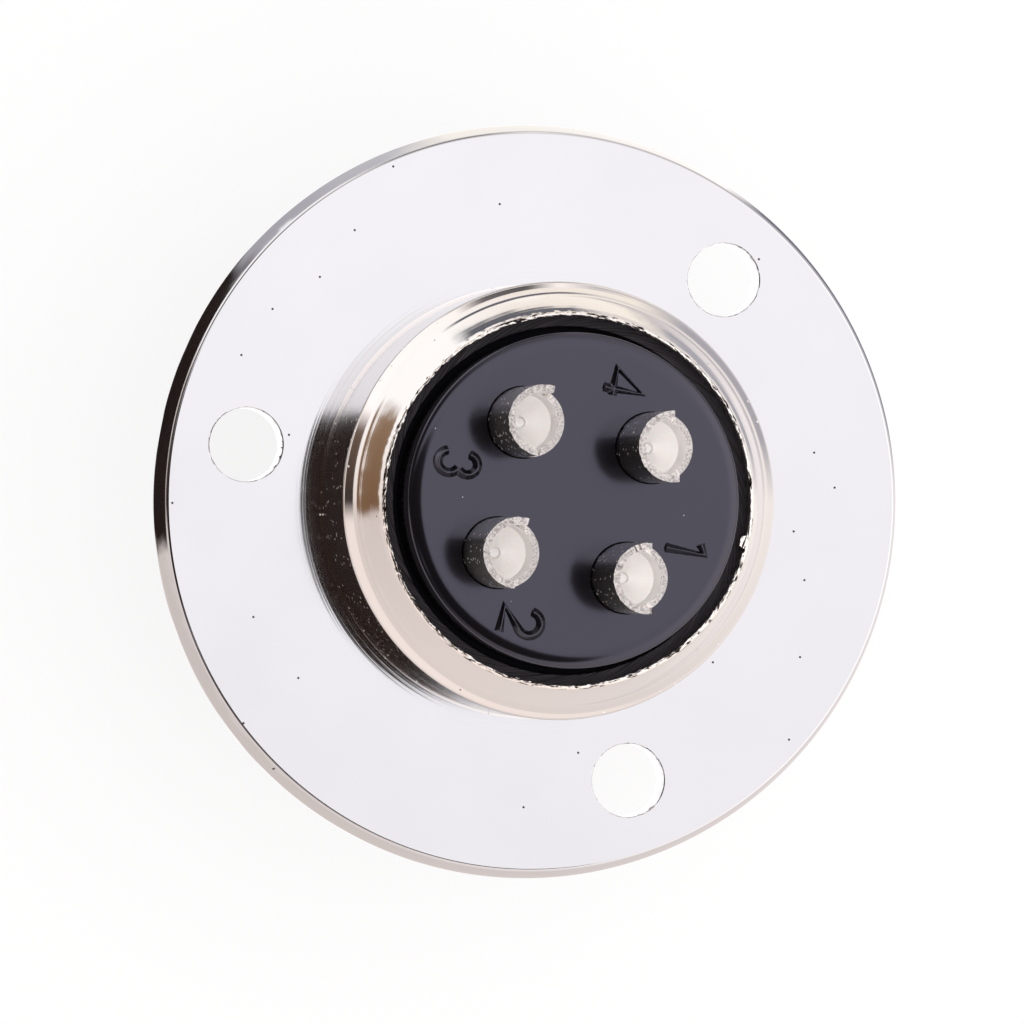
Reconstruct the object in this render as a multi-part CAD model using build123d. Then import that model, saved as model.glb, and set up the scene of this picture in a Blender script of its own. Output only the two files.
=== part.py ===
from build123d import *
import os
from math import cos, radians, sin, tan

# Panel receptacle of a 16 mm circular connector with four contacts, in millimetres.
# The origin is the centre of the screw circle on the flange's rear face.
# +Z points to the solder side, and the X and Y axes pass through the contacts.

# Flange
flange_diameter = 32.0
flange_thickness = 1.7
flange_rear_edge = 0.45
flange_front_chamfer = 0.15
screw_hole_diameter = 3.1
screw_hole_count = 3
screw_circle_inset = 0.125
first_screw_hole_angle = 15.0

# Shell in front of the flange
thread_diameter = 16.0
thread_relief_width = 0.8
thread_relief_depth = 0.65
seat_step = 0.25
barrel_length = 9.8
barrel_wall = 1.2
barrel_mouth_chamfer = 0.4
socket_mouth_chamfer = 0.25
key_width = 2.2
key_height = 0.9
key_setback = 1.6
key_root = 0.3
key_angle = -45.0

# Shell behind the flange
pocket_step = 1.1
pocket_floor_height = 1.2
collar_wall = 1.2
collar_foot_width = 0.1
collar_foot_height = 0.12
collar_seat_depth = 0.1
collar_seat_clearance = 0.05
band_width = 0.45
band_rise = 0.35
lip_fold_height = 2.15
lip_thickness = 0.85
lip_land_width = 0.3
lip_land_drop = 0.2

# Clamp ring under the lip
clamp_ring_thickness = 0.75
clamp_ring_width = 0.65
clamp_ring_show = 0.42
clamp_ring_clearance = 0.05

# Insulator
insulator_clearance = 0.05
insulator_flange_thickness = 5.45
insulator_front_chamfer = 0.2
socket_depth = 7.3
boss_rise = 1.25
boss_groove = 0.25
boss_edge = 0.4

# Contacts, each placed inward from the edge of the boss
contact_names = ["contact_4", "contact_3", "contact_2", "contact_1"]
contact_inset = 3.1
contact_clearance = 0.03
contact_shoulder = 0.1
pin_diameter = 2.0
pin_nose = 0.6
pin_recess = 1.2
pin_shoulder_depth = 3.2
cup_diameter = 2.9
cup_wall = 0.27
cup_bore_depth = 5.0
cup_height = 4.85
drill_point_angle = 118.0

# Open side of each solder cup, and how far each contact turned when it was pressed in
cup_open_direction = -45.0
cup_turns = [15.0, -1.7, -0.7, 11.3]
cup_cut_depth = 3.4
cup_cut_offset = 0.13
cup_cutter_radius = 0.7

# Raised numerals on the insulator's rear face, upright when the key is at the top
numeral_height = 1.66
numeral_width = 1.1
numeral_stroke = 0.42
numeral_relief = 0.16
numeral_draft = 30.0
numeral_sink = 0.1
numeral_insets = [1.69, 1.85, 1.48, 1.87]
numeral_angles = [32.7, 38.6, 31.9, 32.1]

# Proportions of the numerals: bowls against the height, the rest against half the width or height
two_bowl = 0.3
three_upper_bowl = 0.25
three_lower_bowl = 0.28
four_stem = 0.6
four_bar_end = 1.1
four_bar_drop = 0.5
one_stem = 0.36
one_flag = 0.72

# Heights along the axis that more than one piece shares
flange_front = -flange_thickness
mouth = flange_front - barrel_length
insulator_front = mouth + socket_depth
ring_bottom = pocket_floor_height + insulator_flange_thickness
ring_top = ring_bottom + clamp_ring_thickness
lip_top = ring_top + lip_thickness
boss_top = lip_top + boss_rise
pin_shoulder = insulator_front + pin_shoulder_depth
cup_top = boss_top + cup_height

# Radii, worked outward and inward from the thread
thread_radius = thread_diameter / 2
socket_radius = thread_radius - barrel_wall
seat_radius = thread_radius + seat_step
pocket_radius = socket_radius + pocket_step
collar_radius = pocket_radius + collar_wall
foot_radius = collar_radius + collar_foot_width
recess_radius = foot_radius + collar_seat_clearance
rim_radius = flange_diameter / 2
screw_circle_radius = (recess_radius + rim_radius) / 2 - screw_circle_inset
ring_outer_radius = pocket_radius - clamp_ring_clearance
ring_bore_radius = ring_outer_radius - clamp_ring_width
lip_radius = ring_bore_radius + clamp_ring_show
boss_radius = ring_bore_radius - boss_groove
contact_circle_radius = boss_radius - contact_inset
pin_radius = pin_diameter / 2
cup_radius = cup_diameter / 2
cup_bore_radius = cup_radius - cup_wall
contact_body_radius = cup_radius - contact_shoulder
contact_step = 360 / len(contact_names)


def turned(outline):
    """Turn a closed outline of (radius, height) corners about Z."""
    with BuildPart() as blank:
        with BuildSketch(Plane.XZ):
            with BuildLine():
                Polyline(*outline, close=True)
            make_face()
        revolve(axis=Axis.Z)
    return blank.part


def eased(radius, height, reach, side):
    """Corners of an outer edge eased by two flats. Side is 1 for a rear edge and -1 for a front one."""
    middle = reach * (1 - cos(radians(45)))
    return [
        (radius, height - side * reach),
        (radius - middle, height - side * middle),
        (radius - reach, height),
    ]


def at_angle(solid, angle, radius=0.0):
    """Move a solid out along X by a radius, and turn it about Z by an angle."""
    return Rot(0, 0, angle) * Pos(radius, 0, 0) * solid


def screw_hole():
    """Cutter for one screw hole, a little longer than the flange is thick."""
    return Pos(0, 0, flange_front / 2) * Cylinder(screw_hole_diameter / 2, 2 * flange_thickness)


def flange_plate():
    """Stamped round flange, with its rolled edge and the collar's shallow seat on the rear side."""
    outline = [
        (seat_radius, flange_front),
        (rim_radius - flange_front_chamfer, flange_front),
        (rim_radius, flange_front + flange_front_chamfer),
        *eased(rim_radius, 0, flange_rear_edge, 1),
        (recess_radius, 0),
        (recess_radius, -collar_seat_depth),
        (seat_radius, -collar_seat_depth),
    ]
    plate = turned(outline)
    for count in range(screw_hole_count):
        angle = first_screw_hole_angle + count * 360 / screw_hole_count
        plate -= at_angle(screw_hole(), angle, screw_circle_radius)
    return plate


def key_bar(clearance, bottom, top):
    """Straight bar of the polarising key, between two heights."""
    width = key_width + 2 * clearance
    height = key_height + key_root + clearance
    middle = socket_radius + key_root - height / 2
    bar = Pos(0, 0, (bottom + top) / 2) * Box(height, width, top - bottom)
    return at_angle(bar, key_angle, middle)


def shell():
    """Turned and plated body: threaded barrel, key, collar, and the lip rolled over the clamp ring."""
    relief_radius = thread_radius - thread_relief_depth
    relief_front = flange_front - thread_relief_width
    fold = lip_top - lip_fold_height
    outline = [
        (socket_radius + socket_mouth_chamfer, mouth),
        (thread_radius - barrel_mouth_chamfer, mouth),
        (thread_radius, mouth + barrel_mouth_chamfer),
        (thread_radius, relief_front),
        (relief_radius, relief_front),
        (relief_radius, flange_front),
        (seat_radius, flange_front),
        (seat_radius, -collar_seat_depth),
        (foot_radius, -collar_seat_depth),
        (foot_radius, collar_foot_height),
        (collar_radius, collar_foot_height),
        (collar_radius, fold),
        (collar_radius - band_width, fold + band_rise),
        (lip_radius + lip_land_width, lip_top - lip_land_drop),
        (lip_radius, lip_top),
        (lip_radius, ring_top),
        (pocket_radius, ring_top),
        (pocket_radius, pocket_floor_height),
        (socket_radius, pocket_floor_height),
        (socket_radius, mouth + socket_mouth_chamfer),
    ]
    return turned(outline) + key_bar(0, mouth + key_setback, pocket_floor_height)


def clamp_ring():
    """Flat fibre ring between the insulator's flange and the lip."""
    outline = [
        (ring_bore_radius, ring_bottom),
        (ring_outer_radius, ring_bottom),
        (ring_outer_radius, ring_top),
        (ring_bore_radius, ring_top),
    ]
    return turned(outline)


def contact():
    """One turned contact on the Z axis: blunt-nosed pin in front, drilled and scooped solder cup behind."""
    pin_tip = mouth + pin_recess
    bore_bottom = cup_top - cup_bore_depth
    drill_point = cup_bore_radius / tan(radians(drill_point_angle / 2))
    outline = [
        (0, pin_tip),
        *reversed(eased(pin_radius, pin_tip, pin_nose, -1)),
        (pin_radius, insulator_front),
        (contact_body_radius, insulator_front),
        (contact_body_radius, pin_shoulder),
        (cup_radius, pin_shoulder),
        (cup_radius, cup_top),
        (cup_bore_radius, cup_top),
        (cup_bore_radius, bore_bottom),
        (0, bore_bottom - drill_point),
    ]
    return turned(outline) - cup_scoop()


def cup_scoop():
    """Milled cut that opens one side of the solder cup, with the cutter's round at its foot."""
    floor = cup_top - cup_cut_depth
    reach = 2 * cup_radius
    with BuildPart() as cut:
        with BuildSketch(Plane.XZ) as section:
            with Locations((cup_cut_offset, floor)):
                Rectangle(reach, 2 * cup_cut_depth, align=(Align.MIN, Align.MIN))
            inner_foot = section.vertices().sort_by(Axis.Y)[:2].sort_by(Axis.X)[0]
            fillet(inner_foot, cup_cutter_radius)
        extrude(amount=reach, both=True)
    return cut.part


def contact_hole():
    """Stepped hole in the insulator that one contact is pressed into from behind."""
    narrow = contact_body_radius + contact_clearance
    wide = cup_radius + contact_clearance
    outline = [
        (0, insulator_front - insulator_flange_thickness),
        (narrow, insulator_front - insulator_flange_thickness),
        (narrow, pin_shoulder),
        (wide, pin_shoulder),
        (wide, cup_top),
        (0, cup_top),
    ]
    return turned(outline)


def numeral_strokes():
    """Centre lines of the numerals 4, 3, 2 and 1, each about its own middle."""
    top = numeral_height / 2
    side = numeral_width / 2
    bowl = numeral_height * two_bowl
    upper = numeral_height * three_upper_bowl
    lower = numeral_height * three_lower_bowl
    stem = side * four_stem
    bar = -top * four_bar_drop
    upright = side * one_stem
    neck = bowl * cos(radians(45))
    one = [
        Polyline((upright, -top), (upright, top), (-upright, top * one_flag)),
    ]
    two = [
        CenterArc((0, top - bowl), bowl, -45, 220),
        Polyline((neck, top - bowl - neck), (-side, -top), (side, -top)),
    ]
    three = [
        CenterArc((0, top - upper), upper, -50, 230),
        CenterArc((0, lower - top), lower, -165, 230),
        Line((numeral_stroke / 2, 0), (-numeral_stroke / 4, 0)),
    ]
    four = [
        Polyline((stem, -top), (stem, top), (-side, bar), (side * four_bar_end, bar)),
    ]
    return [four, three, two, one]


def numeral(strokes):
    """One raised numeral, standing on the XY plane: a ridge along each stroke, round at its ends."""
    foot = numeral_stroke / 2
    crest = foot - numeral_relief * tan(radians(numeral_draft))
    flank = [(foot, -numeral_sink), (foot, 0), (crest, numeral_relief)]
    section = flank + [(-across, height) for across, height in reversed(flank)]
    post = turned([(0, -numeral_sink), *flank, (0, numeral_relief)])
    ridges = Part()
    for stroke in strokes:
        for edge in stroke.edges():
            along = edge % 0
            start = Plane(edge @ 0, x_dir=Vector(0, 0, 1).cross(along), z_dir=along)
            ridges += sweep(start * make_face(Polyline(*section, close=True)), path=edge)
        for end in stroke.vertices():
            ridges += Pos(*end) * post
    return ridges


def insulator():
    """Moulded body: keyed front, flange in the shell's pocket, and a boss with the numerals."""
    front_radius = socket_radius - insulator_clearance
    flange_radius = pocket_radius - insulator_clearance
    outline = [
        (0, insulator_front),
        (front_radius - insulator_front_chamfer, insulator_front),
        (front_radius, insulator_front + insulator_front_chamfer),
        (front_radius, pocket_floor_height),
        (flange_radius, pocket_floor_height),
        (flange_radius, ring_bottom),
        (boss_radius, ring_bottom),
        *eased(boss_radius, boss_top, boss_edge, 1),
        (0, boss_top),
    ]
    body = turned(outline)
    body -= key_bar(insulator_clearance, mouth, pocket_floor_height)
    for count, strokes in enumerate(numeral_strokes()):
        angle = count * contact_step + numeral_angles[count]
        upright = Rot(0, 0, key_angle - 90 - angle) * numeral(strokes)
        body += Pos(0, 0, boss_top) * at_angle(upright, angle, boss_radius - numeral_insets[count])
    for count in range(len(contact_names)):
        body -= at_angle(contact_hole(), count * contact_step, contact_circle_radius)
    return body


def write_piece(solid, name):
    """Write one piece to its own file."""
    solid.label = name
    export_step(solid, f"parts/{name}.step")


os.makedirs("parts", exist_ok=True)
write_piece(shell(), "shell")
write_piece(flange_plate(), "flange_plate")
write_piece(clamp_ring(), "clamp_ring")
write_piece(insulator(), "insulator")
for count, name in enumerate(contact_names):
    turn = cup_open_direction - count * contact_step + cup_turns[count]
    turned_contact = Rot(0, 0, turn) * contact()
    write_piece(at_angle(turned_contact, count * contact_step, contact_circle_radius), name)
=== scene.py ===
"""Dresses a round-flanged panel receptacle with four solder-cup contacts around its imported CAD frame.

Blender's units are metres, and the Z axis is the connector's axis, with the solder side up.
"""

from math import atan2, cos, pi, radians, sin, tan

import bmesh
import bpy
from bpy.props import FloatProperty, IntProperty, PointerProperty
from mathutils import Matrix, Vector


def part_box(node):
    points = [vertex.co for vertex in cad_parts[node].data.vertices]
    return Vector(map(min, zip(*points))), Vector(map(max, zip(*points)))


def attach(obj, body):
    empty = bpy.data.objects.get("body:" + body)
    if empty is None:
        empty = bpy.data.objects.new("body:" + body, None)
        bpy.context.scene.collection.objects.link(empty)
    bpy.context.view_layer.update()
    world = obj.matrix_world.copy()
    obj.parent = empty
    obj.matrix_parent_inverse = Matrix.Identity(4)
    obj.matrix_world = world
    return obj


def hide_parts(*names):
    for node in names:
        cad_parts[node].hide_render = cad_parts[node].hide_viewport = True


bl_info = {
    "name": "Panel Receptacle Dresser",
    "version": (1, 0, 0),
    "blender": (4, 5, 0),
    "location": "View3D > Sidebar > Receptacle",
    "description": "Models and finishes the pieces of a round-flanged panel receptacle",
    "category": "Add Mesh",
}

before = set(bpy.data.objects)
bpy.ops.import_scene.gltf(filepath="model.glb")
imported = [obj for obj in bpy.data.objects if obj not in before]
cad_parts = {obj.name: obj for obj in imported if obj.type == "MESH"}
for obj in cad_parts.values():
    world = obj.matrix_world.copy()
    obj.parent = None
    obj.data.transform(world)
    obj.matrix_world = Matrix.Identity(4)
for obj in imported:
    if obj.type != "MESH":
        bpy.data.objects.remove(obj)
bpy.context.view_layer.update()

MM = 0.001
MERGE = 0.001 * MM
CLOSE = 0.01 * MM

# Places read from the frame: the low and high corners of each CAD node
shell_low, shell_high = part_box("shell")
flange_low, flange_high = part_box("flange_plate")
ring_low, ring_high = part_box("clamp_ring")
insulator_low, insulator_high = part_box("insulator")
contact_low, contact_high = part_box("contact_4")

mouth = shell_low.z
lip_top = shell_high.z
foot_radius = shell_high.x
flange_front = flange_low.z
rim_radius = flange_high.x
ring_bottom, ring_top = ring_low.z, ring_high.z
ring_outer_radius = ring_high.x
insulator_front = insulator_low.z
cup_top = contact_high.z
cup_radius = (contact_high.y - contact_low.y) / 2
contact_circle_radius = (contact_low.x + contact_high.x) / 2
pin_tip = contact_low.z


def length(name, description, millimetres):
    """A length that the user can change, given in millimetres."""
    return FloatProperty(name=name, description=description, default=millimetres * MM, unit="LENGTH", precision=5)


def turn_angle(name, description, value):
    """An angle that the user can change, given in degrees."""
    return FloatProperty(name=name, description=description, default=radians(value), unit="ROTATION")


class FlangeSizes(bpy.types.PropertyGroup):
    """Sizes of the stamped flange."""

    rim_taper: length("Rim taper", "How much narrower the rear face is than the rim", 0.34)
    taper_depth: length("Taper depth", "Depth of the tapered part of the rim", 1.3)
    rolled_edge: length("Rolled edge", "Reach of the roundings of the taper's edges", 0.12)
    front_chamfer: length("Front chamfer", "Chamfer of the front rim edge", 0.15)
    seat_radius: length("Seat radius", "Radius of the hole that the shell is riveted into", 8.25)
    recess_depth: length("Recess depth", "Depth of the collar's shallow seat", 0.1)
    recess_gap: length("Recess gap", "Gap round the collar's foot", 0.05)
    hole_radius: length("Hole radius", "Radius of a screw hole", 1.55)
    hole_circle: length("Hole circle", "Radius of the screw circle", 12.5)
    hole_count: IntProperty(name="Holes", description="Number of screw holes", default=3, min=1)
    first_hole: turn_angle("First hole", "Angle of the first screw hole", 15.0)
    hole_edge: length("Hole edge", "Width of the rounded hole edge", 0.05)
    hole_burr: length("Hole burr", "How far the plated hole edge wanders", 0.012)


class ShellSizes(bpy.types.PropertyGroup):
    """Sizes of the turned shell."""

    thread_radius: length("Thread radius", "Outer radius of the coupling thread", 8.0)
    thread_pitch: length("Thread pitch", "Distance from one thread crest to the next", 1.0)
    thread_depth: length("Thread depth", "Height of the thread's ridge", 0.61)
    relief_width: length("Relief width", "Width of the groove behind the thread", 0.8)
    relief_depth: length("Relief depth", "Depth of the groove behind the thread", 0.65)
    mouth_chamfer: length("Mouth chamfer", "Chamfer at the start of the thread", 0.4)
    socket_radius: length("Socket radius", "Inner radius of the barrel", 6.8)
    socket_chamfer: length("Socket chamfer", "Chamfer at the mouth of the socket", 0.25)
    collar_radius: length("Collar radius", "Outer radius of the collar", 9.1)
    foot_height: length("Foot height", "Height of the collar's foot", 0.12)
    corner_drop: length("Corner drop", "Depth of the collar's corner below the lip", 2.15)
    corner_reach: length("Corner reach", "Reach of the rounding at the collar's corner", 0.12)
    band_width: length("Band width", "Width of the band above the collar's corner", 0.45)
    band_rise: length("Band rise", "Height of that band", 0.35)
    lip_radius: length("Lip radius", "Inner radius of the crimped lip", 7.62)
    land_width: length("Land width", "Width of the rough land on the lip", 0.17)
    land_drop: length("Land drop", "Fall of the rough land", 0.07)
    pocket_radius: length("Pocket radius", "Radius of the pocket for the insulator", 7.9)
    pocket_floor: length("Pocket floor", "Height of the pocket's floor", 1.2)
    cone_bulge: length("Cone bulge", "How far the rolled cone bulges", 0.03)
    ragged_edge: length("Ragged edge", "How far the crimped edge wanders", 0.025)
    tear_angle: turn_angle("Tear angle", "Place of the torn bit of the crimped edge", -47.0)
    tear_width: turn_angle("Tear width", "Half the width of the torn bit", 1.6)
    tear_reach: length("Tear reach", "How far the torn bit sticks inward", 0.25)
    key_width: length("Key width", "Width of the polarising key", 2.2)
    key_height: length("Key height", "Height of the polarising key", 0.9)
    key_setback: length("Key setback", "Distance of the key from the mouth", 1.6)
    key_angle: turn_angle("Key angle", "Angle of the polarising key", -45.0)


class InsulatorSizes(bpy.types.PropertyGroup):
    """Sizes of the moulded insulator and the fibre ring on it."""

    gap: length("Gap", "Gap between the insulator and the shell", 0.05)
    front_chamfer: length("Front chamfer", "Chamfer of the front edge", 0.2)
    boss_radius: length("Boss radius", "Radius of the rear boss", 6.95)
    boss_top: length("Boss top", "Height of the boss's face", 9.5)
    edge_reach: length("Edge reach", "How far in the soft edge of the boss begins", 0.69)
    edge_drop: length("Edge drop", "Depth of the soft edge of the boss", 0.18)
    boss_draft: length("Boss draft", "How much narrower the boss is at its face", 0.05)
    ring_bore: length("Ring bore", "Inner radius of the fibre ring", 7.2)
    hole_gap: length("Hole gap", "Gap round each solder cup", 0.05)
    numeral_height: length("Numeral height", "Height of a numeral", 1.66)
    numeral_width: length("Numeral width", "Width of a numeral", 1.1)
    numeral_stroke: length("Numeral stroke", "Width of a numeral's ridge", 0.42)
    numeral_flank: turn_angle("Numeral flank", "Slope of a numeral's flanks", 56.0)
    numeral_relief: length("Numeral relief", "Height of a numeral's flat top", 0.27)


class ContactSizes(bpy.types.PropertyGroup):
    """Sizes of the turned contacts."""

    pin_radius: length("Pin radius", "Radius of the front pin", 1.0)
    pin_nose: length("Pin nose", "Reach of the rounding at the pin's tip", 0.6)
    body_radius: length("Body radius", "Radius inside the insulator", 1.35)
    shoulder: length("Shoulder", "Height of the shoulder", -1.0)
    bore_radius: length("Bore radius", "Radius of the solder cup's bore", 1.18)
    bore_depth: length("Bore depth", "Depth of the solder cup's bore", 5.0)
    drill_angle: turn_angle("Drill angle", "Point angle of the drill", 118.0)
    pilot_radius: length("Pilot radius", "Radius of the mark at the drill's point", 0.24)
    cut_depth: length("Cut depth", "Depth of the milled side opening", 3.4)
    cut_offset: length("Cut offset", "Distance of the opening from the cup's axis", 0.13)
    cutter_radius: length("Cutter radius", "Round at the opening's foot", 0.7)
    rim_wander: length("Rim wander", "How rough the cup's cut edges are", 0.025)
    open_side: turn_angle("Open side", "Direction of the solder cups' open side", -45.0)


class StageSizes(bpy.types.PropertyGroup):
    """Camera, floor and light."""

    camera_distance: length("Camera distance", "Distance of the camera from the flange", 307.0)
    camera_azimuth: turn_angle("Camera azimuth", "Side that the camera leans to", 147.4)
    camera_tilt: turn_angle("Camera tilt", "Lean of the camera away from the connector's axis", 10.06)
    picture_up: turn_angle("Picture up", "Direction that is up in the picture", 56.0)
    shift_right: length("Shift right", "Place of the flange right of the picture's middle", 0.912)
    shift_up: length("Shift up", "Place of the flange above the picture's middle", 0.442)
    focal_length: FloatProperty(name="Focal length", description="Focal length in millimetres", default=255.1)
    floor_size: length("Floor size", "Side of the floor", 3000.0)


# For contacts 4, 3, 2 and 1: their turns, and the angles and millimetre insets of their numerals, from the photo
contact_names = ["contact_4", "contact_3", "contact_2", "contact_1"]
contact_turns = [15.0, -1.7, -0.7, 11.3]
numeral_angles = [32.7, 38.6, 31.9, 33.8]
numeral_insets = [1.69, 1.85, 1.48, 1.94]


# Surroundings that the plating mirrors, by bearing in the picture: 0 right, 90 up, 180 left
room_walls = [
    (-180, "#2A2421"),
    (-174, "#CFC6C2"),
    (-120, "#D2C9C5"),
    (-60, "#CFC8C4"),
    (0, "#DAD6D4"),
    (22, "#A5A3A8"),
    (70, "#A5A3A6"),
    (80, "#E0DCDA"),
    (88, "#4A4848"),
    (102, "#5A5858"),
    (110, "#E0DCDA"),
    (150, "#E6E2E2"),
    (157, "#5A4A40"),
    (180, "#2A2421"),
]
room_beams = [
    (-180, "#241F1D"),
    (-140, "#37312E"),
    (-95, "#C6BFBB"),
    (-30, "#F4F0EE"),
    (20, "#FAF7F5"),
    (60, "#D0CCCC"),
    (100, "#B2AFAE"),
    (130, "#4A4644"),
    (180, "#241F1D"),
]
room_ceiling = [
    (-180, "#DEDDDF"),
    (-30, "#D7D6D8"),
    (0, "#DEDDDF"),
    (30, "#E4E3E5"),
    (180, "#DEDDDF"),
]
table_near = [
    (-180, "#221A18"),
    (-175, "#221A18"),
    (-172, "#CEC4BF"),
    (-120, "#CFC5C0"),
    (-60, "#CDC5C2"),
    (0, "#CFC9C9"),
    (12, "#6A6872"),
    (46, "#6A6872"),
    (56, "#F1EDEA"),
    (96, "#F4EEE6"),
    (108, "#BCBABF"),
    (134, "#A4A2A8"),
    (140, "#221A18"),
    (180, "#221A18"),
]
table_middle = [
    (-180, "#221A18"),
    (-175, "#221A18"),
    (-172, "#D8CFCA"),
    (-120, "#DCD3CF"),
    (-60, "#DCD6D3"),
    (0, "#F0ECEA"),
    (12, "#A2A2AA"),
    (50, "#A2A2AA"),
    (62, "#F4EEE4"),
    (112, "#FFFFFF"),
    (136, "#FFFFFF"),
    (143, "#221A18"),
    (180, "#221A18"),
]
table_far = [
    (-180, "#D8CFCA"),
    (-120, "#DCD3CF"),
    (-60, "#DCD6D3"),
    (0, "#F0ECEA"),
    (14, "#A8A8B0"),
    (46, "#A8A8B0"),
    (60, "#F4EEE4"),
    (92, "#F1EBE4"),
    (119, "#FFFFFF"),
    (150, "#FFFFFF"),
    (180, "#E4DCD6"),
]
table_farther = [
    (-180, "#75583F"),
    (-178, "#75583F"),
    (-175, "#D0C6C2"),
    (-120, "#DCD3CF"),
    (-60, "#DCD6D3"),
    (0, "#F0ECEA"),
    (70, "#D8D4D2"),
    (80, "#666870"),
    (112, "#5C5E66"),
    (118, "#FFFFFF"),
    (146, "#FFFFFF"),
    (151, "#8A7058"),
    (180, "#75583F"),
]

# Rings of those tones on the table: where each begins, where it is full, in millimetres from the axis, and its tones
table_rings = [
    (16.5, 17.5, table_near),
    (24.5, 25.5, table_middle),
    (29.5, 30.5, table_far),
    (36, 38, table_farther),
    (60, 70, table_far),
]

# How far the edges of the table's tones wander, and over what distance
tone_wander = 7 * MM
wander_grain = 4 * MM

# Dark cards by the camera, in the picture's directions: place across and up, width, height, and distance
dark_cards = {
    "dark_camera": (-105, -10, 220, 140, 325),
    "dark_photographer": (-30, -115, 220, 160, 325),
}


# Modelling helpers


def deselect():
    """Leave edit mode and select nothing."""
    if bpy.context.object and bpy.context.object.mode != "OBJECT":
        bpy.ops.object.mode_set(mode="OBJECT")
    bpy.ops.object.select_all(action="DESELECT")


def activate(piece):
    """Select one piece alone."""
    deselect()
    piece.select_set(True)
    bpy.context.view_layer.objects.active = piece


def pick(kind, wanted):
    """Select the vertices, edges or faces that a test wants, in the piece that is in edit mode."""
    bpy.ops.mesh.select_mode(type=kind)
    bpy.ops.mesh.select_all(action="DESELECT")
    mesh = bmesh.from_edit_mesh(bpy.context.edit_object.data)
    for part in {"VERT": mesh.verts, "EDGE": mesh.edges, "FACE": mesh.faces}[kind]:
        if wanted(part):
            part.select_set(True)
    mesh.select_flush_mode()
    bmesh.update_edit_mesh(bpy.context.edit_object.data)


def draw_line(places):
    """Draw a line through places: one vertex, extruded from place to place, in edit mode."""
    deselect()
    bpy.ops.mesh.primitive_plane_add(size=MM)
    bpy.ops.object.mode_set(mode="EDIT")
    bpy.ops.mesh.select_mode(type="VERT")
    bpy.ops.mesh.select_all(action="SELECT")
    bpy.ops.mesh.merge(type="CENTER")
    bpy.ops.transform.translate(value=places[0])
    for start, end in zip(places, places[1:]):
        step = Vector(end) - Vector(start)
        bpy.ops.mesh.extrude_vertices_move(TRANSFORM_OT_translate={"value": step})
    return bpy.context.object


def draw(name, corners):
    """Draw an outline of (radius, height) corners."""
    piece = draw_line([(radius, 0, height) for radius, height in corners])
    piece.name = name
    bpy.ops.mesh.select_all(action="SELECT")
    bpy.ops.mesh.remove_doubles(threshold=MERGE)
    return piece


def round_corner(corner, reach, segments=10):
    """Round one corner of a drawn outline."""
    place = Vector((corner[0], 0, corner[1]))
    pick("VERT", lambda v: (v.co - place).length < CLOSE)
    bpy.ops.mesh.bevel(offset=reach, segments=segments, affect="VERTICES")


def turn(steps=256):
    """Turn the drawn outline about the Z axis into a closed skin."""
    bpy.ops.mesh.select_all(action="SELECT")
    bpy.ops.mesh.spin(steps=steps, angle=2 * pi, center=(0, 0, 0), axis=(0, 0, 1))
    tidy_skin()


def tidy_skin():
    """Merge doubled vertices and point every face outwards."""
    bpy.ops.mesh.select_all(action="SELECT")
    bpy.ops.mesh.remove_doubles(threshold=MERGE)
    bpy.ops.mesh.normals_make_consistent(inside=False)


def turned(name, corners, rounded=(), steps=256):
    """A closed body turned from an outline, with some corners rounded."""
    piece = draw(name, corners)
    for corner, reach in rounded:
        round_corner(corner, reach)
    turn(steps)
    bpy.ops.object.mode_set(mode="OBJECT")
    return piece


def bar(name, size, centre, angle=0.0):
    """A plain bar, turned about the Z axis with its place in its mesh."""
    deselect()
    bpy.ops.mesh.primitive_cube_add(size=1, location=centre)
    piece = bpy.context.object
    piece.name = name
    piece.scale = size
    bpy.ops.object.transform_apply(location=True, rotation=False, scale=True)
    settle(piece, angle)
    return piece


def rod(name, radius, bottom, top, steps=96):
    """A plain round cutter on the Z axis."""
    return turned(name, [(0, bottom), (radius, bottom), (radius, top), (0, top)], steps=steps)


def settle(piece, angle, radius=0.0):
    """Move a piece out along X, turn it about the Z axis, and keep both in its mesh."""
    activate(piece)
    piece.rotation_euler.z = angle
    piece.location = (radius * cos(angle), radius * sin(angle), piece.location.z)
    bpy.ops.object.transform_apply(location=True, rotation=True, scale=True)


def combine(piece, tool, operation):
    """Join a tool to a piece, or cut it out, and drop the tool."""
    activate(piece)
    joint = piece.modifiers.new("combine", "BOOLEAN")
    joint.operation = operation
    joint.solver = "EXACT"
    joint.object = tool
    bpy.ops.object.modifier_apply(modifier=joint.name)
    bpy.data.objects.remove(tool)


def copy_of(piece, name):
    """A copy with its own mesh."""
    activate(piece)
    bpy.ops.object.duplicate(linked=False)
    bpy.context.object.name = name
    return bpy.context.object


def radius_of(point):
    """Distance of a point from the Z axis."""
    return point.xy.length


def deliver(piece, node, level=2.0):
    """Shade a finished piece, and let it stand for its CAD node. Faces more level than a limit stay flat."""
    if not piece.data.polygons:
        raise RuntimeError(piece.name + " has no faces")
    activate(piece)
    bpy.ops.object.shade_smooth_by_angle(angle=radians(35))
    for face in piece.data.polygons:
        face.use_smooth = abs(face.normal.z) < level
    shading = piece.modifiers.new("shading", "WEIGHTED_NORMAL")
    shading.weight = 100
    shading.keep_sharp = True
    bpy.ops.object.modifier_apply(modifier=shading.name)
    piece.data.name = piece.name
    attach(piece, "root")
    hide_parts(node)


# Material helpers


def linear(code):
    """An sRGB hex code as the linear colour that the shaders take."""
    parts = [int(code[at : at + 2], 16) / 255 for at in (1, 3, 5)]
    return [p / 12.92 if p <= 0.04045 else ((p + 0.055) / 1.055) ** 2.4 for p in parts] + [1.0]


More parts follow.
